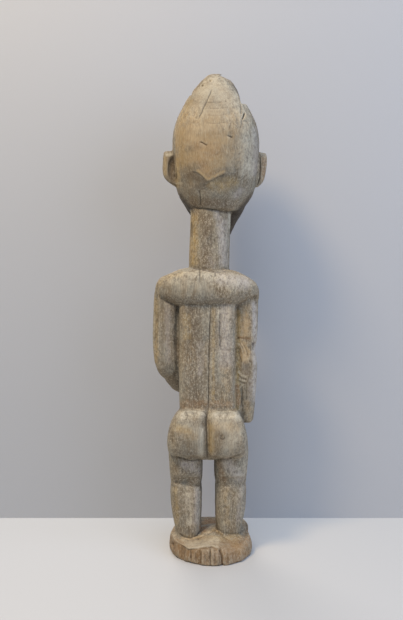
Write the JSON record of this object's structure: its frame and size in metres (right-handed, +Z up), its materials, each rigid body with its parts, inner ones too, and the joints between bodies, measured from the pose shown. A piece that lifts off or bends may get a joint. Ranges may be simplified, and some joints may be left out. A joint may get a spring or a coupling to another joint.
{
  "type": "carved shrine figure",
  "caption": "Weathered carved wooden figure standing on a round base: tall egg-shaped head, long neck, yoke shoulders, an arm at its side, a forearm across the belly, stout legs.",
  "frame": {"origin": "on the surface that the base stands on, under the middle of the base", "axes": "+Z up through the head; the figure faces -Y, so its left side is +X"},
  "size_m": [0.1454, 0.1309, 0.6001],
  "materials": {
    "weathered_hardwood": "bare hardwood, adze-cut, weathered grey-brown with dry cracks and worn tan edges"
  },
  "bodies": {
    "root": {"figure": "weathered_hardwood"}
  },
  "joints": []
}
